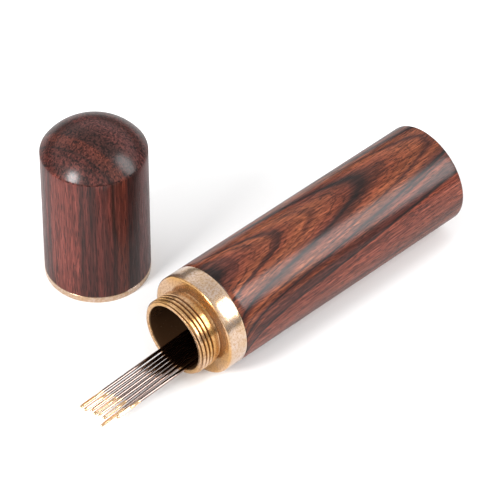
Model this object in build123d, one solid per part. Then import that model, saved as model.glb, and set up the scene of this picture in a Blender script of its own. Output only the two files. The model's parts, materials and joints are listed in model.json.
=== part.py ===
from build123d import *
import math
import os

# Round wooden needle case, open: the barrel lies on its side, the screw cap stands beside it, and the
# needles lie along the bottom of the bore with their eyes out past the mouth. Millimetres.
# Everything is drawn first in the barrel's own frame: X along the barrel axis from the mouth towards
# the closed end, with x = 0 on the collar's front face, y = 0 on the barrel axis, and z = 0 on the table.
# The whole group is then shifted so that the origin is the centre of its footprint, on the table.

# Case
case_diameter = 20.0
body_length = 59.8           # collar front face to the closed end
collar_width = 4.1
bore_diameter = 13.2
bore_end = 54.3              # bottom of the bore, from the collar front face
rear_edge_radius = 0.4
front_edge_chamfer = 0.2

# Threaded neck
neck_length = 4.9
thread_diameter = 15.3
thread_pitch = 0.83
thread_depth = 0.35
thread_crest_width = 0.36
thread_root_width = 0.13
groove_start = 1.90          # where the thread groove runs out, forward of the collar face
groove_angle = 160.0         # and how far round from the top of the neck, towards -Y
land_start = 1.0             # plain land behind the thread, forward of the collar face
relief_radius = 7.1
lead_chamfer = 0.36
spigot_diameter = 16.4
spigot_length = 8.0

# Cap
cap_height = 34.8
dome_height = 5.4
flange_height = 1.3
insert_length = 8.0
insert_diameter = 18.0
cap_hollow_depth = 25.0
cap_hollow_diameter = 14.8
cap_mouth_diameter = 15.7    # plain run-in below the internal thread
cap_thread_start = 2.75
cap_thread_end = 6.0
thread_play = 0.12           # radial, and so half as much on each flank
cap_along = 4.4              # where the cap stands, in the barrel's frame
cap_aside = 31.4

# Needles
needle_length = 42.0
needle_diameter = 0.66
head_diameter = 0.70
head_length = 5.6
head_thickness = 0.46
point_length = 8.0
point_tip_radius = 0.02
point_curve_radius = 110.0
eye_length = 3.0
eye_width = 0.30
eye_margin = 0.6             # eye slot to the end of the head
bore_gap = 0.07              # needle to the bore it lies in
bundle_skew = 1.43           # degrees, eyes turned towards -Y
# Each needle: its place across the mouth, how far it sticks out, how far its eye dips, its roll.
needle_layout = [
    (3.31, 20.3, 1.40, 10),
    (2.59, 19.9, 1.60, -25),
    (1.90, 19.0, 2.00, 35),
    (1.17, 18.9, 2.50, -5),
    (0.32, 18.6, 1.95, 50),
    (-0.50, 18.2, 3.40, -15),
    (-1.53, 19.7, 4.10, 20),
    (-3.07, 17.2, 1.30, -35),
]

case_radius = case_diameter / 2
bore_radius = bore_diameter / 2
thread_radius = thread_diameter / 2
root_radius = thread_radius - thread_depth
flank_slope = (thread_pitch - thread_crest_width - thread_root_width) / thread_depth
farthest_reach = max(reach for side, reach, dip, roll in needle_layout)
footprint_x = (body_length - neck_length - farthest_reach) / 2
footprint_y = cap_aside / 2


def placed(shape, along=0.0, aside=0.0, up=0.0):
    """Move a shape from the barrel's frame to the row's frame."""
    return Pos(along - footprint_x, aside - footprint_y, up) * shape


def turned(outline, axis):
    """A solid of revolution from a closed outline of (along, radius) points, or (radius, up) points."""
    face = make_face(Polyline(*outline, close=True))
    if axis == Axis.Z:
        face = Plane.XZ * face
    return revolve(face, axis)


def cut_thread(blank, placement, inner_radius, outer_radius, inner_width, outer_width, turns):
    """Cut a right-hand groove, a trapezoid in section, one turn at a time from z = 0 of the placement."""
    helix = Helix(thread_pitch, thread_pitch, inner_radius)
    section = make_face(
        Polyline(
            (inner_radius, -inner_width / 2),
            (outer_radius, -outer_width / 2),
            (outer_radius, outer_width / 2),
            (inner_radius, inner_width / 2),
            close=True,
        )
    )
    one_turn = sweep(Plane.XZ * section, path=helix, is_frenet=True)
    for turn in range(turns):
        blank = blank - placement * Pos(0, 0, turn * thread_pitch) * one_turn
    return blank


def barrel():
    """Turned wooden body with a blind bore, and a wider seat at its mouth for the collar's spigot."""
    seat_end = collar_width + spigot_length
    body = turned(
        [
            (collar_width, spigot_diameter / 2),
            (collar_width, case_radius),
            (body_length, case_radius),
            (body_length, 0),
            (bore_end, 0),
            (bore_end, bore_radius),
            (seat_end, bore_radius),
            (seat_end, spigot_diameter / 2),
        ],
        Axis.X,
    )
    rear_rim = body.edges().filter_by(GeomType.CIRCLE).group_by(Axis.X)[-1]
    return fillet(rear_rim, rear_edge_radius)


def collar():
    """Brass collar in one piece with its glued spigot behind and its threaded neck in front."""
    blank = turned(
        [
            (collar_width + spigot_length, bore_radius),
            (collar_width + spigot_length, spigot_diameter / 2),
            (collar_width, spigot_diameter / 2),
            (collar_width, case_radius),
            (front_edge_chamfer, case_radius),
            (0, case_radius - front_edge_chamfer),
            (0, relief_radius),
            (-land_start, relief_radius),
            (-land_start, thread_radius),
            (lead_chamfer - neck_length, thread_radius),
            (-neck_length, thread_radius - lead_chamfer),
            (-neck_length, bore_radius),
        ],
        Axis.X,
    )
    past_surface = 0.1
    return cut_thread(
        blank,
        Pos(-groove_start, 0, 0) * Rot(0, -90, 0) * Rot(0, 0, -groove_angle),
        root_radius,
        thread_radius + past_surface,
        thread_root_width,
        thread_pitch - thread_crest_width + flank_slope * past_surface,
        math.ceil((neck_length - groove_start) / thread_pitch) + 1,
    )


def cap_shell():
    """Turned wooden cap with a shallow domed top, hollow inside, with a seat for the brass insert."""
    shoulder = cap_height - dome_height
    outline = make_face(
        Polyline(
            (0, cap_hollow_depth),
            (cap_hollow_diameter / 2, cap_hollow_depth),
            (cap_hollow_diameter / 2, insert_length),
            (insert_diameter / 2, insert_length),
            (insert_diameter / 2, flange_height),
            (case_radius, flange_height),
            (case_radius, shoulder),
        )
        + RadiusArc((case_radius, shoulder), (0, cap_height), -dome_radius())
        + Line((0, cap_height), (0, cap_hollow_depth))
    )
    return revolve(Plane.XZ * outline, Axis.Z)


def dome_radius():
    """Radius of the sphere that the domed top belongs to."""
    return (case_radius**2 + dome_height**2) / (2 * dome_height)


def cap_insert():
    """Brass insert glued into the cap: a flange that shows as a thin ring, and the internal thread."""
    bore = cap_hollow_diameter / 2
    blank = turned(
        [
            (cap_mouth_diameter / 2, 0),
            (case_radius, 0),
            (case_radius, flange_height),
            (insert_diameter / 2, flange_height),
            (insert_diameter / 2, insert_length),
            (bore, insert_length),
            (bore, cap_thread_start),
            (cap_mouth_diameter / 2, cap_thread_start),
        ],
        Axis.Z,
    )
    outer = thread_radius + thread_play
    inner = bore - thread_play
    # The groove that takes the neck's ridge: its width at the crest is the ridge's own, and the play
    # in radius leaves the flanks clear.
    return cut_thread(
        blank,
        Pos(0, 0, cap_thread_start - thread_pitch),
        inner,
        outer,
        thread_crest_width + flank_slope * (outer - inner),
        thread_crest_width,
        math.ceil((cap_thread_end - cap_thread_start) / thread_pitch),
    )


def needle():
    """One sewing needle along X, its point at x = 0 and its flattened, slotted eye end at +X."""
    shank = needle_diameter / 2
    head = head_diameter / 2
    head_start = needle_length - head_length
    nose_start = needle_length - head
    outline = make_face(
        Line((0, 0), (0, point_tip_radius))
        + RadiusArc((0, point_tip_radius), (point_length, shank), point_curve_radius)
        + Polyline(
            (point_length, shank),
            (head_start, shank),
            (head_start + eye_length / 2, head),
            (nose_start, head),
        )
        + RadiusArc((nose_start, head), (needle_length, 0), head)
        + Line((needle_length, 0), (0, 0))
    )
    body = revolve(outline, Axis.X)
    flat = head_thickness / 2
    shaving = make_face(
        Polyline(
            (head_start, head * 2),
            (head_start, head),
            (head_start + eye_length / 2, flat),
            (needle_length + 1, flat),
            (needle_length + 1, head * 2),
            close=True,
        )
    )
    upper = extrude(Plane.XZ * shaving, amount=head * 2, both=True)
    lower = mirror(upper, about=Plane.XY)
    eye_centre = needle_length - eye_margin - eye_length / 2
    eye = extrude(Pos(eye_centre, 0, 0) * SlotOverall(eye_length, eye_width), amount=1, both=True)
    return body - upper - lower - eye


def needle_place(side, reach, dip, roll):
    """Where a needle lies: its eye end out past the mouth, resting on the lip of the bore."""
    rest_radius = bore_radius - needle_diameter / 2 - bore_gap
    height = case_radius - math.sqrt(rest_radius**2 - side**2)
    # The needle's own +X runs outwards, so it is turned end for end, then dipped and skewed.
    return (
        Pos(-neck_length, side, height)
        * Rot(0, 0, 180 + bundle_skew)
        * Rot(0, dip, 0)
        * Rot(roll, 0, 0)
        * Pos(reach - needle_length, 0, 0)
    )


os.makedirs("parts", exist_ok=True)
parts = {
    "barrel": placed(barrel(), up=case_radius),
    "collar": placed(collar(), up=case_radius),
    "cap_shell": placed(cap_shell(), cap_along, cap_aside),
    "cap_insert": placed(cap_insert(), cap_along, cap_aside),
}
for number, layout in enumerate(needle_layout, start=1):
    parts[f"needle_{number}"] = placed(needle_place(*layout) * needle())
for name, shape in parts.items():
    export_step(shape, f"parts/{name}.step")
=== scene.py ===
import json
import math

import bmesh
import bpy
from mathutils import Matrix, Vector


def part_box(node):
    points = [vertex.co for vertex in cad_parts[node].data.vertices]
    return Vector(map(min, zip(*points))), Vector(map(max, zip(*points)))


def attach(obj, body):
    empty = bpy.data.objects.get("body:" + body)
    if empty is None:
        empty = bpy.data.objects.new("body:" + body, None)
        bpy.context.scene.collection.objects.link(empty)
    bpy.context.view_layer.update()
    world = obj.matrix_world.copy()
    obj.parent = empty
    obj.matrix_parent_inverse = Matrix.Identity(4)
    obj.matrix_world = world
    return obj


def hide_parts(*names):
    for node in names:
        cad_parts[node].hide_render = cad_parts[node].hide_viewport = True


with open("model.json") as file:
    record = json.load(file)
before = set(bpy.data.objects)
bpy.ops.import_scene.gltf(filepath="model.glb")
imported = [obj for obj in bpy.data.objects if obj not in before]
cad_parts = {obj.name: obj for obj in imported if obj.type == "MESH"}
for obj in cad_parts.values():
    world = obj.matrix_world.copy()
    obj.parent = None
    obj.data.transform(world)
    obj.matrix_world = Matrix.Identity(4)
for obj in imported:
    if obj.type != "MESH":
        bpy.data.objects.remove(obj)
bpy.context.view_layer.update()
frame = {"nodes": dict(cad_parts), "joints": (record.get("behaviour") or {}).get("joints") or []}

# Round rosewood needle case with brass fittings, lying open beside its cap. Places come from the CAD model, and
# the pieces below are finer meshes of its parts. Sizes are in millimetres and angles in degrees.

MM = 0.001
SEGMENTS = 288               # round a turned piece

# ---------------------------------------------------------------- sizes, nearly all as in the CAD model
bore_radius = 6.6
bore_end = 54.3
collar_width = 4.1
neck_length = 4.9
spigot_radius = 8.2          # glued into the barrel behind the collar
spigot_end = 12.1
rear_edge = 0.4

thread_pitch = 0.83
crest_radius = 7.65
root_radius = 7.30
relief_radius = 7.1          # behind the thread
land_start = 1.0             # forward of the collar face, as is the next
groove_start = 1.90
groove_angle = 160.0
lead_chamfer = 0.36
run_out = 24.0               # degrees over which a groove comes to its depth, where the CAD's starts square

dome_height = 5.4
flange_height = 1.3
insert_radius = 9.0
insert_length = 8.0
hollow_radius = 7.4
hollow_depth = 25.0
run_in_radius = 7.85         # plain mouth below the internal thread
internal_groove_radius = 7.77
internal_start = 2.75
internal_end = 6.2           # top of the threaded band, past the groove's own end

needle_length = 42.0
shank_radius = 0.33
point_length = 8.0
point_tip_radius = 0.02
head_radius = 0.35
head_length = 5.6
head_half_thickness = 0.235
head_flare = 1.6             # a smoother and slightly longer flare than the CAD needle's
eye_half_length = 1.5
eye_half_width = 0.15
eye_margin = 0.6
needle_rolls = [10, -25, 35, -5, 50, -15, 20, -35]


# ---------------------------------------------------------------- places taken from the CAD model
def centre(node):
    low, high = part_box(node)
    return (low + high) / 2


barrel_low, barrel_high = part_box("barrel")
case_radius = (barrel_high.z - barrel_low.z) / 2 / MM
mouth = Vector((barrel_low.x - collar_width * MM, centre("barrel").y, centre("barrel").z))
case_length = (barrel_high.x - mouth.x) / MM
cap_foot = Vector((centre("cap_shell").x, centre("cap_shell").y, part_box("cap_insert")[0].z))
cap_height = (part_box("cap_shell")[1].z - cap_foot.z) / MM
shoulder = cap_height - dome_height


# ---------------------------------------------------------------- mesh helpers
def finished(name, mesh, merge, dissolve, smooth_below):
    """The mesh as an object, with points closer than merge metres joined, faces turned outwards, and smooth
    shading where faces meet at less than smooth_below degrees."""
    bm = bmesh.new()
    bm.from_mesh(mesh)
    bmesh.ops.remove_doubles(bm, verts=bm.verts, dist=merge)
    bmesh.ops.dissolve_degenerate(bm, edges=bm.edges, dist=dissolve)
    bmesh.ops.recalc_face_normals(bm, faces=bm.faces)
    bm.to_mesh(mesh)
    bm.free()
    mesh.shade_smooth()
    mesh.set_sharp_from_angle(angle=math.radians(smooth_below))
    obj = bpy.data.objects.new(name, mesh)
    bpy.context.scene.collection.objects.link(obj)
    return obj


def turned_object(name, points, faces, origin, smooth_below=32.0):
    """A turned piece from points in millimetres about its origin."""
    mesh = bpy.data.meshes.new(name)
    mesh.from_pydata([origin + Vector(p) * MM for p in points], [], faces)
    mesh.validate()
    return finished(name, mesh, merge=1e-7, dissolve=1e-8, smooth_below=smooth_below)


def eased(t):
    """0 to 1 with a gentle start and end."""
    return t * t * (3 - 2 * t)


def along_x(station, radius, angle):
    """A point on the case: angle in degrees from the top, towards -Y."""
    a = math.radians(angle)
    return (station, -radius * math.sin(a), radius * math.cos(a))


def along_z(station, radius, angle):
    """A point on the cap: angle in degrees from +X, anticlockwise seen from above."""
    a = math.radians(angle)
    return (radius * math.cos(a), radius * math.sin(a), station)


def arc(station, height, radius, start, end, steps):
    """(station, radius) points along an arc about (station, height), its angles from +station."""
    result = []
    for i in range(steps + 1):
        a = math.radians(start + (end - start) * i / steps)
        result.append((station + radius * math.cos(a), height + radius * math.sin(a)))
    return result


def rings_of_faces(base, count, closed):
    """Faces between neighbouring columns of count points each, all round a turned piece."""
    faces = []
    for i in range(SEGMENTS):
        a, b = base + i * count, base + ((i + 1) % SEGMENTS) * count
        for k in range(count if closed else count - 1):
            faces.append((a + k, a + (k + 1) % count, b + (k + 1) % count, b + k))
    return faces


def lathe(name, outline, point_on, origin):
    """A closed surface of revolution from an outline of (station, radius) points."""
    points = []
    for i in range(SEGMENTS):
        angle = 360.0 * i / SEGMENTS
        points += [point_on(s, r, angle) for s, r in outline]
    return turned_object(name, points, rings_of_faces(0, len(outline), True), origin)


# ---------------------------------------------------------------- threaded pieces
def groove_profile(offset, root_half, crest_half):
    """1 at the groove's floor, 0 at its shoulders, rounded in between."""
    d = abs(offset)
    if d <= root_half:
        return 1.0
    if d >= crest_half:
        return 0.0
    t = (d - root_half) / (crest_half - root_half)
    return 1.0 - eased(t) * 0.35 - t * 0.65


def threaded_lathe(name, band, plain, surface, first_groove, turns, offsets, point_on, origin):
    """A turned piece with a threaded band. band is the band's first and last station, and surface(angle,
    station) its radius. plain is (leave, outline, meet): the outline that closes the piece, from one end of the
    band round to the other. Rows of points follow the groove, whose middle is at first_groove at angle 0, on
    each of the turns and at each of the offsets from its middle."""
    first, last = band
    leave, outline, meet = plain
    points, columns = [], []
    for i in range(SEGMENTS):
        angle = 360.0 * i / SEGMENTS
        middle = first_groove + thread_pitch * angle / 360.0
        column = []
        for turn in turns:
            for offset in offsets:
                station = min(max(middle + turn * thread_pitch + offset, first), last)
                column.append(len(points))
                points.append(point_on(station, surface(angle, station), angle))
        columns.append(column)
    faces = []
    for i in range(SEGMENTS):
        a, b = columns[i], columns[(i + 1) % SEGMENTS]
        # After a whole turn the rows meet those of the next groove.
        shift = 0 if i + 1 < SEGMENTS else len(offsets)
        for k in range(len(a) - 1):
            near, far = min(k + shift, len(b) - 1), min(k + 1 + shift, len(b) - 1)
            faces.append((a[k], a[k + 1], b[far], b[near]))
    base = len(points)
    for i in range(SEGMENTS):
        angle = 360.0 * i / SEGMENTS
        points.append(point_on(leave, surface(angle, leave), angle))
        points += [point_on(s, r, angle) for s, r in outline]
        points.append(point_on(meet, surface(angle, meet), angle))
    faces += rings_of_faces(base, len(outline) + 2, False)
    faces = [face for face in faces if len(set(face)) == 4]
    return turned_object(name, points, faces, origin, smooth_below=50.0)


# ---------------------------------------------------------------- pieces of the case
def make_barrel():
    seam = 0.01                  # hairline between the wood and the collar
    front = collar_width + 0.14  # where the eased front edge ends
    rear = case_length - rear_edge
    steps = 46
    outline = [
        (collar_width + seam, spigot_radius),
        (collar_width + seam, case_radius - 0.12),
        (collar_width + 0.05, case_radius - 0.05),
        (front, case_radius),
    ]
    outline += [(front + (rear - front) * i / steps, case_radius) for i in range(1, steps)]
    outline += arc(rear, case_radius - rear_edge, rear_edge, 90, 0, 6)
    outline += [(case_length, radius) for radius in (8.0, 6.0, 4.0, 2.0, 1.0, 0.3, 0.0)]
    outline += [
        (bore_end, 0.0),
        (bore_end, 3.0),
        (bore_end, bore_radius - 0.6),
        (bore_end - 0.2, bore_radius - 0.2),
        (bore_end - 0.6, bore_radius),
        (40.0, bore_radius),
        (26.0, bore_radius),
        (spigot_end, bore_radius),
        (spigot_end, spigot_radius),
    ]
    return lathe("barrel_wood", outline, along_x, mouth)


def make_collar():
    front = -neck_length
    first, last = front + 0.03, -land_start
    root_half, crest_half = 0.065, 0.235
    offsets = [-0.235, -0.15, -0.065, 0.0, 0.065, 0.15, 0.235, 0.33]

    # From the land back round the collar and the spigot to the bore and the neck's front.
    outline = [
        (last + 0.03, crest_radius - 0.05),
        (last + 0.05, relief_radius + 0.1),
        (last + 0.12, relief_radius),
        (-0.12, relief_radius),
        (-0.02, relief_radius + 0.06),
        (0.0, relief_radius + 0.2),
        (0.0, 7.9),
        (0.0, 8.6),
        (0.0, 9.3),
        (0.0, case_radius - 0.22),
        (0.05, case_radius - 0.14),
        (0.14, case_radius - 0.04),
        (0.24, case_radius),
        (1.2, case_radius),
        (2.2, case_radius),
        (3.2, case_radius),
        (collar_width - 0.16, case_radius),
        (collar_width - 0.08, case_radius - 0.03),
        (collar_width - 0.03, case_radius - 0.1),
        (collar_width, case_radius - 0.2),
        (collar_width, spigot_radius),
        (spigot_end, spigot_radius),
        (spigot_end, bore_radius),
        (4.0, bore_radius),
        (0.0, bore_radius),
        (-3.0, bore_radius),
        (front + 0.16, bore_radius),
        (front + 0.05, bore_radius + 0.04),
        (front, bore_radius + 0.16),
        (front, crest_radius - lead_chamfer - 0.06),
    ]

    def surface(angle, x):
        """The neck's radius: a groove that comes in gently behind, and a chamfer in front."""
        groove = 0.0
        turned = angle if angle <= groove_angle else angle - 360.0
        for turn in range(-1, 7):
            past = groove_angle - turned + 360.0 * turn
            if past < 0:
                continue
            middle = -groove_start - thread_pitch * past / 360.0
            depth = eased(min(1.0, past / run_out))
            groove = max(groove, depth * groove_profile(x - middle, root_half, crest_half))
        chamfer = crest_radius - lead_chamfer + (x - front)
        return min(crest_radius - (crest_radius - root_radius) * groove, chamfer)

    first_groove = -groove_start - thread_pitch * groove_angle / 360.0
    return threaded_lathe("collar_brass", (first, last), (last, outline, first), surface,
                          first_groove, range(-8, 4), offsets, along_x, mouth)


# ---------------------------------------------------------------- pieces of the cap
def make_shell():
    dome_radius = (case_radius**2 + dome_height**2) / (2 * dome_height)
    dome_centre = cap_height - dome_radius
    rim = flange_height + 0.1    # where the eased lower edge ends
    side_steps, dome_steps = 30, 32
    outline = [
        (flange_height + 0.02, insert_radius),
        (flange_height + 0.02, case_radius - 0.1),
        (rim, case_radius),
    ]
    side = shoulder - flange_height - 0.2
    outline += [(rim + side * i / side_steps, case_radius) for i in range(1, side_steps)]
    outline += [(shoulder - 0.07, case_radius), (shoulder - 0.02, case_radius - 0.012)]
    crease = math.acos((shoulder + 0.05 - dome_centre) / dome_radius)
    for i in range(dome_steps + 1):
        a = crease * (1 - i / dome_steps)
        outline.append((dome_centre + dome_radius * math.cos(a), dome_radius * math.sin(a)))
    outline += [
        (hollow_depth, 0.0),
        (hollow_depth, 4.0),
        (hollow_depth, hollow_radius - 0.5),
        (hollow_depth - 0.15, hollow_radius - 0.15),
        (hollow_depth - 0.5, hollow_radius),
        (16.0, hollow_radius),
        (insert_length, hollow_radius),
        (insert_length, insert_radius),
    ]
    return lathe("cap_wood", outline, along_z, cap_foot)


def make_insert():
    turns = 4
    first_groove = internal_start - thread_pitch
    root_half, crest_half = 0.18, 0.34
    offsets = [-0.34, -0.26, -0.18, 0.0, 0.18, 0.26, 0.34]

    # From the thread's lower end round the flange to its upper end.
    outline = [
        (internal_start, run_in_radius),
        (0.15, run_in_radius),
        (0.04, run_in_radius + 0.04),
        (0.0, run_in_radius + 0.15),
        (0.0, 8.6),
        (0.0, 9.3),
        (0.0, case_radius - 0.1),
        (0.03, case_radius - 0.03),
        (0.1, case_radius),
        (0.5, case_radius),
        (0.9, case_radius),
        (flange_height - 0.1, case_radius),
        (flange_height - 0.03, case_radius - 0.03),
        (flange_height, case_radius - 0.1),
        (flange_height, insert_radius),
        (insert_length, insert_radius),
        (insert_length, hollow_radius),
    ]

    def surface(angle, z):
        """The insert's inner radius: a groove that runs out at its upper end."""
        groove = 0.0
        for turn in range(turns):
            middle = first_groove + thread_pitch * (angle / 360.0 + turn)
            left = (turns - turn - angle / 360.0) * 360.0
            depth = min(1.0, left / run_out)
            groove = max(groove, depth * groove_profile(z - middle, root_half, crest_half))
        return hollow_radius + (internal_groove_radius - hollow_radius) * groove

    return threaded_lathe("cap_insert_brass", (internal_start, internal_end),
                          (internal_start, outline, internal_end), surface,
                          first_groove, range(-2, 8), offsets, along_z, cap_foot)


# ---------------------------------------------------------------- needles
head_start = needle_length - head_length
nose_start = needle_length - head_radius
eye_centre = needle_length - eye_margin - eye_half_length


def needle_ends(node):
    """Tip of the point and tip of the eye end, read from the CAD needle's own vertices."""
    joint = next(j for j in frame["joints"] if j["child"] == node)
    inward = Vector(joint["axis"]).normalized()
    vertices = [v.co for v in frame["nodes"][node].data.vertices]
    spread = [v.dot(inward) for v in vertices]
    low, high = min(spread), max(spread)
    slack = 0.004 * MM
    eye = [v for v, t in zip(vertices, spread) if t < low + slack]
    tip = [v for v, t in zip(vertices, spread) if t > high - slack]
    return sum(tip, Vector((0, 0, 0))) / len(tip), sum(eye, Vector((0, 0, 0))) / len(eye)


def needle_half_sizes(s):
    """Half width and half thickness at s from the point."""
    if s < point_length:
        t = s / point_length
        radius = point_tip_radius + (shank_radius - point_tip_radius) * (1 - (1 - t) ** 2)
        return radius, radius
    if s < head_start:
        return shank_radius, shank_radius
    if s < head_start + head_flare:
        t = eased((s - head_start) / head_flare)
        return (shank_radius + (head_radius - shank_radius) * t,
                shank_radius + (head_half_thickness - shank_radius) * t)
    if s <= nose_start:
        return head_radius, head_half_thickness
    t = min(1.0, (s - nose_start) / head_radius)
    k = math.sqrt(max(0.0, 1 - t * t))
    return head_radius * k, head_half_thickness * k


def eye_half_opening(s):
    """Half width of the eye at s from the point, zero outside it."""
    d = abs(s - eye_centre)
    straight = eye_half_length - eye_half_width
    if d >= eye_half_length:
        return 0.0
    if d <= straight:
        return eye_half_width
    return math.sqrt(max(0.0, eye_half_width**2 - (d - straight) ** 2))


def needle_stations():
    """Where a needle's cross-sections lie, closer together where its shape changes."""
    stations = [point_length * (i / 14) ** 1.5 for i in range(1, 15)]
    stations += [point_length + (head_start - point_length) * i / 10 for i in range(1, 11)]
    stations += [head_start + head_flare * i / 8 for i in range(1, 9)]
    eye_a, eye_b = eye_centre - eye_half_length, eye_centre + eye_half_length
    ends = [eye_half_width * (1 - math.cos(math.pi / 2 * i / 6)) for i in range(7)]
    stations += [x for x in (eye_a - 0.35, eye_a - 0.12) if x > stations[-1] + 0.05]
    stations += [eye_a + e for e in ends]
    straight = 2 * eye_half_length - 2 * eye_half_width
    stations += [eye_a + eye_half_width + straight * i / 10 for i in range(1, 10)]
    stations += [eye_b - e for e in reversed(ends)]
    stations += [eye_b + 0.12]
    return stations + [nose_start + head_radius * math.sin(math.pi / 2 * i / 8) for i in range(8)]


def make_needle(number):
    """A needle as two half tubes, which join along the shank and part round the eye."""
    node = f"needle_{number}"
    tip, eye = needle_ends(node)
    out = (eye - tip).normalized()
    level = Vector((0, 0, 1)).cross(out).normalized()
    upright = out.cross(level)
    roll = math.radians(needle_rolls[number - 1])
    side = level * math.cos(roll) + upright * math.sin(roll)
    flat = -level * math.sin(roll) + upright * math.cos(roll)
    half_turn = 12               # faces round each half
    eye_rounding = 0.16          # how far the eye's edges are rounded
    points, rows = [], []

    def add(s, y, z):
        points.append(tuple(tip + out * (s * MM) + side * (y * MM) + flat * (z * MM)))
        return len(points) - 1

    for s in needle_stations():
        width, thickness = needle_half_sizes(s)
        opening = eye_half_opening(s)
        loops = []
        for sign in (1, -1):
            loop = []
            for i in range(half_turn + 1):
                a = math.pi / 2 - math.pi * i / half_turn
                y = max(width * math.cos(a), 0.0)
                z = thickness * math.sin(a)
                if opening > 0:
                    y = opening + (width - opening) * math.cos(a)
                    edge = math.sin(abs(a)) ** 6
                    z *= 1 - eye_rounding * edge * (opening / eye_half_width)
                loop.append(add(s, sign * y, z))
            loops.append(loop)
        rows.append((loops, opening))
    faces = []
    for (loops_a, opening_a), (loops_b, opening_b) in zip(rows, rows[1:]):
        for a, b in zip(loops_a, loops_b):
            for i in range(half_turn):
                faces.append((a[i], a[i + 1], b[i + 1], b[i]))
        if opening_a > 0 or opening_b > 0:
            for a, b in zip(loops_a, loops_b):
                faces.append((a[0], a[-1], b[-1], b[0]))
    for loops, end in ((rows[0][0], add(0.0, 0.0, 0.0)), (rows[-1][0], add(needle_length, 0.0, 0.0))):
        for loop in loops:
            for i in range(half_turn):
                faces.append((loop[i], loop[i + 1], end))
    mesh = bpy.data.meshes.new(f"sewing_{node}")
    mesh.from_pydata(points, [], faces)
    obj = finished(f"sewing_{node}", mesh, merge=2e-8, dissolve=1e-9, smooth_below=50.0)
    # The plating follows each point's distance from the eye end.
    distance = mesh.attributes.new("from_eye", "FLOAT", "POINT")
    for v in mesh.vertices:
        distance.data[v.index].value = (eye - v.co).dot(out) / MM
    return obj


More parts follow.
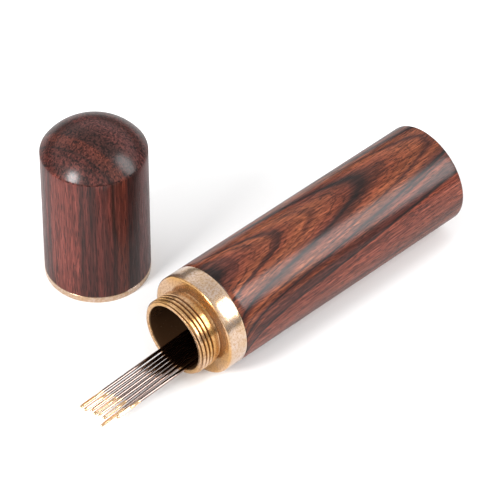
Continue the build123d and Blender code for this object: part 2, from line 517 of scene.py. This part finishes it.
# ---------------------------------------------------------------- node helpers
class Graph:
    """Short calls that build the nodes of a material or of the world."""

    def __init__(self, owner):
        owner.use_nodes = True
        self.owner, self.tree = owner, owner.node_tree
        self.tree.nodes.clear()

    def node(self, kind, **values):
        made = self.tree.nodes.new(kind)
        for key, value in values.items():
            setattr(made, key, value)
        return made

    def put(self, socket, value):
        """Link a socket to another, or give it a number or colour."""
        if isinstance(value, bpy.types.NodeSocket):
            self.tree.links.new(value, socket)
        else:
            socket.default_value = value

    def calculate(self, operation, *values):
        made = self.node("ShaderNodeMath", operation=operation)
        for socket, value in zip(made.inputs, values):
            self.put(socket, value)
        return made.outputs[0]

    def plus(self, a, b):
        return self.calculate("ADD", a, b)

    def minus(self, a, b):
        return self.calculate("SUBTRACT", a, b)

    def times(self, a, b):
        return self.calculate("MULTIPLY", a, b)

    def vector(self, operation, *values):
        made = self.node("ShaderNodeVectorMath", operation=operation)
        for socket, value in zip(made.inputs, values):
            self.put(socket, value)
        return made.outputs["Value"] if operation == "LENGTH" else made.outputs[0]

    def parts(self, vector):
        made = self.node("ShaderNodeSeparateXYZ")
        self.put(made.inputs[0], vector)
        return made.outputs[0], made.outputs[1], made.outputs[2]

    def combine(self, x, y, z):
        made = self.node("ShaderNodeCombineXYZ")
        for socket, value in zip(made.inputs, (x, y, z)):
            self.put(socket, value)
        return made.outputs[0]

    def from_point(self, origin):
        """The place on the object in millimetres from a point."""
        coordinates = self.node("ShaderNodeTexCoord").outputs["Object"]
        moved = self.vector("SUBTRACT", coordinates, tuple(origin))
        return self.vector("MULTIPLY", moved, (1 / MM,) * 3)

    def stretched(self, x, y, z, along, across):
        """A place whose noise is drawn out along x."""
        return self.combine(self.times(x, along), self.times(y, across), self.times(z, across))

    def noise(self, vector, detail, rough, scale=1.0):
        made = self.node("ShaderNodeTexNoise")
        self.put(made.inputs["Vector"], vector)
        made.inputs["Scale"].default_value = scale
        made.inputs["Detail"].default_value = detail
        made.inputs["Roughness"].default_value = rough
        return made.outputs["Fac"]

    def swing(self, vector, detail, rough, size):
        """Noise about zero."""
        return self.times(self.minus(self.noise(vector, detail, rough), 0.5), size)

    def cells(self, vector):
        """A random number for each cell of a scattered pattern, and the distance from the cell's point."""
        made = self.node("ShaderNodeTexVoronoi")
        self.put(made.inputs["Vector"], vector)
        made.inputs["Scale"].default_value = 1.0
        split = self.node("ShaderNodeSeparateColor")
        self.put(split.inputs[0], made.outputs["Color"])
        return split.outputs[0], made.outputs["Distance"]

    def range(self, value, a, b, c=0.0, d=1.0, smooth=False):
        """The value with a to b moved to c to d, and held at both ends."""
        made = self.node("ShaderNodeMapRange")
        made.interpolation_type = "SMOOTHSTEP" if smooth else "LINEAR"
        self.put(made.inputs[0], value)
        for socket, number in zip(made.inputs[1:5], (a, b, c, d)):
            socket.default_value = number
        return made.outputs[0]

    def ramp(self, value, stops):
        made = self.node("ShaderNodeValToRGB")
        elements = made.color_ramp.elements
        elements.remove(elements[-1])
        elements[0].position = stops[0][0]
        elements[0].color = colour(stops[0][1])
        for position, shade in stops[1:]:
            elements.new(position).color = colour(shade)
        self.put(made.inputs[0], value)
        return made.outputs[0]

    def bands(self, value, stops):
        """A ramp whose stops are given in the value's own units."""
        low, high = stops[0][0], stops[-1][0]
        inner = [((at - low) / (high - low), shade) for at, shade in stops]
        return self.ramp(self.range(value, low, high), inner)

    def mix(self, factor, a, b, blend="MIX"):
        made = self.node("ShaderNodeMix", data_type="RGBA", blend_type=blend)
        self.put(made.inputs[0], factor)
        for socket, value in zip((made.inputs[6], made.inputs[7]), (a, b)):
            self.put(socket, colour(value) if isinstance(value, tuple) else value)
        return made.outputs[2]

    def bump(self, height, strength, distance):
        made = self.node("ShaderNodeBump")
        made.inputs["Strength"].default_value = strength
        made.inputs["Distance"].default_value = distance
        self.put(made.inputs["Height"], height)
        return made.outputs[0]

    def surface(self, **values):
        """Finish a material with one shader, and return the material."""
        made = self.node("ShaderNodeBsdfPrincipled")
        for key, value in values.items():
            self.put(made.inputs[key.replace("_", " ")], value)
        output = self.node("ShaderNodeOutputMaterial")
        self.tree.links.new(made.outputs[0], output.inputs[0])
        return self.owner


def linear(channel):
    c = channel / 255
    return c / 12.92 if c <= 0.04045 else ((c + 0.055) / 1.055) ** 2.4


def colour(value):
    """A grey number or a display colour from 0 to 255 as a shader colour."""
    if isinstance(value, (int, float)):
        return (value, value, value, 1.0)
    return (*(linear(c) for c in value), 1.0)


# ---------------------------------------------------------------- rosewood
def rosewood(g, along, across, layer, tones, dark, shown, darkest, fibre_length, contrast, end_grain):
    """Polished rosewood. along is the place along the grain and across the two places across it, in
    millimetres. tones, dark and shown give, by growth layer, its colour, how far it goes to the darkest
    colour, and how clear its thin lines are. contrast is the fibres', and end_grain is 1 where the surface
    cuts the grain square."""
    red_cloud, thin_line, end_tone, pore_tone = (94, 46, 40), (36, 19, 16), (54, 30, 26), (26, 12, 10)

    def drawn_out(long, wide):
        return g.stretched(along, across[0], across[1], long, wide)

    streak = g.noise(drawn_out(0.07, 2.0), 3.0, 0.6)
    layer = g.plus(layer, g.times(g.minus(streak, 0.5), 0.15))
    body = g.bands(layer, tones)
    cloud = g.noise(drawn_out(0.06, 0.22), 2.0, 0.5)
    body = g.mix(g.range(cloud, 0.40, 0.62, 0.0, 0.35), body, red_cloud)
    patchy = g.range(g.noise(drawn_out(0.16, 0.6), 2.0, 0.6), 0.36, 0.54, 0.8, 1.0)
    body = g.mix(g.times(g.bands(layer, dark), patchy), body, darkest)

    # Thin lines that follow the layers.
    lines = g.noise(g.combine(g.times(layer, 7.5), g.times(along, 0.04), g.times(across[0], 0.10)), 3.0, 0.8)
    clear = g.bands(layer, shown)
    body = g.mix(g.times(g.range(lines, 0.44, 0.37), clear), body, thin_line)
    body = g.mix(g.times(end_grain, 0.35), body, end_tone)

    # Straight fibres of many tones, and short dark pores, all along the grain.
    fibre, _ = g.cells(drawn_out(1.0 / fibre_length, 4.0))
    fine, _ = g.cells(drawn_out(1.8 / fibre_length, 6.4))
    _, away = g.cells(drawn_out(1.5 / fibre_length, 3.6))
    spread = g.plus(g.times(g.minus(fibre, 0.5), contrast), g.times(g.minus(fine, 0.5), contrast))
    spread = g.plus(spread, g.times(g.minus(streak, 0.5), 2.0 * contrast))
    spread = g.plus(spread, g.times(g.range(lines, 0.54, 0.64, 0.0, 0.25), clear))
    grain = g.calculate("POWER", 2.718, g.minus(g.calculate("MINIMUM", spread, 0.60), 0.04))

    # On the end grain the fibres show as dots, and the pores don't show.
    dot, _ = g.cells(g.combine(g.times(across[0], 3.8), g.times(across[1], 3.8), 0.0))
    dots = g.range(dot, 0.0, 1.0, 0.15, 1.75)
    side_grain = g.minus(1.0, end_grain)
    grain = g.plus(g.times(grain, side_grain), g.times(dots, end_grain))
    pore = g.times(g.range(away, 0.34, 0.20), side_grain)

    # The grain darkens green and blue a little more than red.
    tint = g.combine(grain, g.calculate("POWER", grain, 1.05), g.calculate("POWER", grain, 1.06))
    body = g.mix(1.0, body, tint, "MULTIPLY")
    body = g.mix(g.times(pore, 0.8), body, pore_tone)
    height = g.minus(g.times(g.plus(fibre, fine), 0.35), pore)
    return g.surface(
        Base_Color=body,
        Roughness=g.range(fine, 0.0, 1.0, 0.46, 0.32),
        Specular_IOR_Level=0.06,
        Coat_Weight=0.18,
        Coat_Roughness=0.22,
        Coat_IOR=1.9,
        Normal=g.bump(height, 0.6, 0.03 * MM),
    )


def wood_of_case():
    g = Graph(bpy.data.materials.new("rosewood_case"))
    x, y, z = g.parts(g.from_point(mouth))
    # The grain runs along the case. Its layers are nearly flat sheets, tilted a little to the axis, and
    # they dip near the collar.
    tilt = math.radians(3)
    rise = g.minus(g.times(z, math.cos(tilt)), g.times(y, math.sin(tilt)))
    depth = g.minus(10.0, rise)
    slope = g.times(x, 1 / 12.15)
    near = g.calculate("EXPONENT", g.times(g.minus(x, 4.0), -1 / 4.3))
    bend = g.times(g.times(near, depth), 0.34)
    wander = g.swing(g.stretched(x, y, z, 0.05, 0.2), 3.0, 0.55, 0.40)
    ripple = g.swing(g.stretched(x, y, z, 0.22, 0.9), 2.0, 0.5, 0.20)
    layer = g.plus(g.plus(g.minus(g.plus(depth, slope), bend), wander), ripple)
    plain, warm, brown, black = (106, 52, 34), (124, 67, 42), (64, 32, 24), (27, 18, 17)
    tones = [
        (-3.0, plain), (0.0, brown), (0.8, brown), (1.0, plain), (1.5, warm), (1.6, brown), (1.8, plain),
        (2.22, warm), (2.34, brown), (2.46, warm), (3.0, plain), (3.26, brown), (3.7, brown), (4.0, plain),
        (4.6, warm), (4.8, brown), (5.1, warm), (5.66, brown), (6.2, brown), (6.7, plain), (7.2, brown),
        (8.2, (66, 30, 24)), (8.9, (118, 57, 41)), (9.9, (98, 46, 34)), (10.5, (122, 61, 45)),
        (11.6, (100, 48, 36)), (12.4, (122, 62, 46)), (16.0, brown), (16.4, plain), (19.4, brown), (20.0, warm),
    ]
    dark = [
        (-3.0, 0.0), (0.20, 0.0), (0.26, 1.0), (0.46, 1.0), (0.60, 0.0), (1.58, 0.0), (1.63, 0.9),
        (1.69, 0.9), (1.75, 0.0), (3.26, 0.0), (3.32, 1.0), (3.50, 1.0), (3.60, 0.0), (4.74, 0.0),
        (4.80, 0.5), (4.88, 0.0), (5.72, 0.0), (5.78, 1.0), (5.96, 1.0), (6.03, 0.0), (6.9, 0.0), (7.0, 0.6),
        (7.1, 0.0), (7.7, 0.2), (8.25, 0.3), (8.36, 1.0), (8.66, 1.0), (8.82, 0.0), (19.2, 0.0), (19.4, 0.9),
        (19.7, 0.0),
    ]
    shown = [
        (-3.0, 0.7), (3.2, 0.7), (3.8, 0.45), (5.4, 0.5), (5.9, 1.0), (9.0, 1.0), (9.6, 0.9), (14.0, 0.9),
    ]
    end_grain = g.range(x, case_length - 0.25, case_length - 0.10)
    return rosewood(g, x, (y, z), layer, tones, dark, shown, darkest=black, fibre_length=2.8, contrast=0.74,
                    end_grain=end_grain)


def wood_of_cap():
    g = Graph(bpy.data.materials.new("rosewood_cap"))
    x, y, z = g.parts(g.from_point(cap_foot))
    # The grain stands upright. Its layers are wide arcs that cross the cap, a little askew to +X.
    skew = g.times(y, 0.19)
    curve = g.times(g.times(y, y), 0.008)
    wander = g.swing(g.stretched(z, x, y, 0.045, 0.16), 3.0, 0.55, 0.9)
    ripple = g.swing(g.stretched(z, x, y, 0.16, 1.2), 3.0, 0.6, 0.38)
    layer = g.plus(g.plus(g.minus(g.plus(x, skew), curve), wander), ripple)
    light, plain, brown, black = (100, 47, 40), (81, 36, 31), (54, 26, 23), (42, 20, 17)
    tones = [
        (-12.0, light), (-9.9, light), (-9.7, brown), (-9.4, plain), (-8.9, brown), (-8.2, plain),
        (-7.1, brown), (-6.8, plain), (-6.2, brown), (-5.0, (76, 35, 26)), (-3.9, (84, 38, 27)),
        (-3.3, (44, 23, 21)), (-0.9, (42, 23, 22)), (0.3, (80, 40, 37)), (2.4, (78, 40, 39)), (4.6, brown),
        (6.0, plain), (7.2, brown), (9.0, plain), (12.0, light),
    ]
    dark = [
        (-12.0, 0.0), (-9.66, 0.0), (-9.56, 0.9), (-9.42, 0.1), (-8.95, 0.1), (-8.86, 0.9), (-8.72, 0.2),
        (-8.48, 0.8), (-8.36, 0.0), (-7.08, 0.0), (-7.0, 0.9), (-6.88, 0.1), (-6.4, 0.2), (-6.26, 1.0),
        (-5.96, 1.0), (-5.8, 0.0), (-3.55, 0.0), (-3.36, 0.9), (-3.1, 0.3), (-2.6, 0.35), (-2.3, 0.9),
        (-1.7, 0.8), (-1.3, 0.3), (-0.9, 0.6), (-0.6, 0.0), (3.0, 0.0), (3.3, 0.6), (3.8, 0.1), (5.6, 0.0),
        (7.0, 0.4),
    ]
    shown = [
        (-12.0, 0.5), (-9.8, 0.6), (-9.5, 1.0), (-6.0, 1.0), (-5.4, 0.6), (-3.8, 0.6), (-3.2, 0.9), (12.0, 0.7),
    ]
    # The dome cuts the grain, from just below the crease up.
    end_grain = g.range(z, shoulder - 0.05, shoulder + 0.10)
    return rosewood(g, z, (x, y), layer, tones, dark, shown, darkest=black, fibre_length=5.0, contrast=0.56,
                    end_grain=end_grain)


# ---------------------------------------------------------------- brass and needle steel
def turned_brass(name, origin, axis, painted_light_and_shade=None):
    """Turned brass about an axis through origin. The function given last, if any, paints light and shade into
    its colour and changes how metallic it is by place.
    """
    g = Graph(bpy.data.materials.new(name))
    place = g.from_point(origin)
    x, y, z = g.parts(place)
    along, across = (x, (y, z)) if axis == "X" else (z, (x, y))
    radius = g.vector("LENGTH", g.combine(across[0], across[1], 0.0))
    # Turning marks: fine rings that change along the axis and with the radius.
    rings = g.noise(g.combine(g.times(along, 9.0), g.times(radius, 9.0), 0.0), 3.0, 0.7)
    speck = g.noise(g.vector("MULTIPLY", place, (2.3,) * 3), 3.0, 0.7)
    cloud = g.noise(g.vector("MULTIPLY", place, (0.35,) * 3), 3.0, 0.6)
    shade = g.mix(g.range(cloud, 0.38, 0.62), (194, 166, 138), (200, 178, 162))
    shade = g.mix(g.range(speck, 0.54, 0.38, 0.0, 0.8), shade, (170, 134, 96))
    shade = g.mix(g.range(rings, 0.42, 0.25, 0.0, 0.4), shade, (150, 114, 76))
    metal = 0.8
    # Painted light and shade, where a function for it is given.
    if painted_light_and_shade:
        shade, metal = painted_light_and_shade(g, place, along, radius, speck, shade, metal)
    return g.surface(
        Base_Color=shade,
        Metallic=metal,
        Roughness=g.range(speck, 0.3, 0.7, 0.28, 0.15),
        Normal=g.bump(g.plus(rings, g.times(speck, 0.8)), 0.25, 0.01 * MM),
    )


def collar_painted_light_and_shade(g, place, along, radius, speck, shade, metal):
    """Painted light and shade on the collar: the front face and neck are warmer, a painted warm reflection
    between them, and the thread's valleys and the bore are darker, painted shade, with the bore also less
    metallic.
    """
    # Tones of the painted warm reflection, and of the painted shade in the valleys and the bore.
    painted_reflection_tone, pale_tone, speck_tone = (198, 152, 94), (204, 170, 138), (136, 96, 56)
    painted_valley_shade, painted_bore_shade, shaded_bore_metal = (112, 76, 38), (74, 50, 32), 0.35
    # Painted warm reflection: the front face, the neck and the mouth of the bore take a warmer, blotchy tone in
    # place of light reflected between the face and the neck.
    patches = g.noise(g.vector("MULTIPLY", place, (0.14,) * 3), 2.0, 0.5)
    warm = g.mix(g.range(patches, 0.40, 0.60), painted_reflection_tone, pale_tone)
    warm = g.mix(g.range(speck, 0.52, 0.36, 0.0, 0.75), warm, speck_tone)
    shade = g.mix(g.range(along, 0.35, 0.05), shade, warm)
    # Painted shade: the thread's valleys, below the crests between the land and the lead chamfer, are darkened.
    valley = g.times(g.range(radius, 7.56, 7.34), g.range(along, -0.98, -1.06))
    valley = g.times(g.times(valley, g.range(radius, 7.15, 7.2)), g.range(along, -4.85, -4.80))
    shade = g.mix(valley, shade, painted_valley_shade)
    # Painted shade: the bore is darkened and made less metallic from just inside the mouth inwards.
    bore = g.times(g.range(radius, 6.75, 6.62), g.range(along, -4.9, -4.5))
    return g.mix(bore, shade, painted_bore_shade), g.range(bore, 0.0, 1.0, metal, shaded_bore_metal)


def needle_metal():
    """Polished steel, with gold plating that ends unevenly a little below the eye."""
    g = Graph(bpy.data.materials.new("needle_metal"))
    from_eye = g.node("ShaderNodeAttribute", attribute_name="from_eye").outputs["Fac"]
    mottle = g.noise(g.node("ShaderNodeTexCoord").outputs["Object"], 2.0, 0.5, scale=900.0)
    plated = g.range(g.plus(from_eye, g.times(g.minus(mottle, 0.5), 0.8)), 5.9, 5.3, smooth=True)
    return g.surface(
        Base_Color=g.mix(plated, (140, 124, 118), (224, 188, 148)),
        Metallic=1.0,
        Roughness=g.range(mottle, 0.3, 0.7, 0.07, 0.14),
    )


# ---------------------------------------------------------------- put the object together
# The collar's brass has a painted warm reflection on its face and neck, and painted shade in its thread and
# bore.
collar_brass = turned_brass("brass_collar", mouth, "X", collar_painted_light_and_shade)
insert_brass = turned_brass("brass_insert", cap_foot, "Z")
steel = needle_metal()
placements = [
    (make_barrel(), "barrel", "case", "rosewood", wood_of_case()),
    (make_collar(), "collar", "case", "brass", collar_brass),
    (make_shell(), "cap_shell", "cap", "rosewood", wood_of_cap()),
    (make_insert(), "cap_insert", "cap", "brass", insert_brass),
]
for number in range(1, len(needle_rolls) + 1):
    node = f"needle_{number}"
    placements.append((make_needle(number), node, node, "needle_steel", steel))
for piece, node, body, slot_name, material in placements:
    piece.data.materials.append(material)
    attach(piece, body)
    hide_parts(node)


# ---------------------------------------------------------------- floor, light and camera
def floor():
    half, steps = 1.0, 24        # metres from the middle to each side, and squares along it
    lines = [-half + 2 * half * i / steps for i in range(steps + 1)]
    points = [(x, y, 0.0) for x in lines for y in lines]
    row = steps + 1
    corners = [i * row + j for i in range(steps) for j in range(steps)]
    mesh = bpy.data.meshes.new("table_top")
    mesh.from_pydata(points, [], [(c, c + row, c + row + 1, c + 1) for c in corners])
    g = Graph(bpy.data.materials.new("white_table"))
    mesh.materials.append(g.surface(Base_Color=colour(0.93), Roughness=0.7))
    obj = bpy.data.objects.new("table_top", mesh)
    bpy.context.scene.collection.objects.link(obj)


def softbox(name, direction, width, height, power):
    """An oval light that faces a point near the object's middle, from this direction."""
    distance, middle = 0.60, Vector((0.01, 0.0, 0.01))
    light = bpy.data.lights.new(name, "AREA")
    light.shape = "ELLIPSE"
    light.size, light.size_y = width, height
    light.energy = power
    obj = bpy.data.objects.new(name, light)
    back = Vector(direction).normalized()
    obj.location = middle + back * distance
    obj.rotation_mode = "QUATERNION"
    obj.rotation_quaternion = (-back).to_track_quat("-Z", "Y")
    obj.visible_camera = False
    bpy.context.scene.collection.objects.link(obj)


def studio():
    """Light from all round, by the height of its direction: dark at table level and below, brightest at a
    third of the way up, and a little less overhead."""
    world = bpy.data.worlds.new("studio")
    g = Graph(world)
    height = g.parts(g.node("ShaderNodeTexCoord").outputs["Generated"])[2]
    stops = [(0.0, 0.04), (0.19, 0.05), (0.38, 1.0), (0.60, 0.96), (0.84, 0.62), (1.0, 0.58)]
    background = g.node("ShaderNodeBackground")
    g.put(background.inputs["Color"], g.ramp(height, stops))
    g.put(background.inputs["Strength"], 1.25)
    output = g.node("ShaderNodeOutputWorld")
    g.put(output.inputs["Surface"], background.outputs[0])
    bpy.context.scene.world = world


def camera():
    data = bpy.data.cameras.new("camera")
    data.sensor_width = 36.0
    data.lens = 281.71
    data.clip_start, data.clip_end = 0.01, 20.0
    obj = bpy.data.objects.new("camera", data)
    bpy.context.scene.collection.objects.link(obj)
    obj.location = (-0.35397, -0.38922, 0.51155)
    aim = Vector((0.01080, -0.00079, 0.0))
    obj.rotation_mode = "QUATERNION"
    obj.rotation_quaternion = (aim - obj.location).to_track_quat("-Z", "Y")
    bpy.context.scene.camera = obj


floor()
softbox("front_right", (0.494, -0.649, 0.569), width=0.24, height=0.44, power=2.3)
softbox("left", (-0.865, -0.011, 0.507), width=0.19, height=0.19, power=3.4)
studio()
camera()
bpy.context.scene.view_settings.view_transform = "Standard"
bpy.context.scene.view_settings.look = "None"
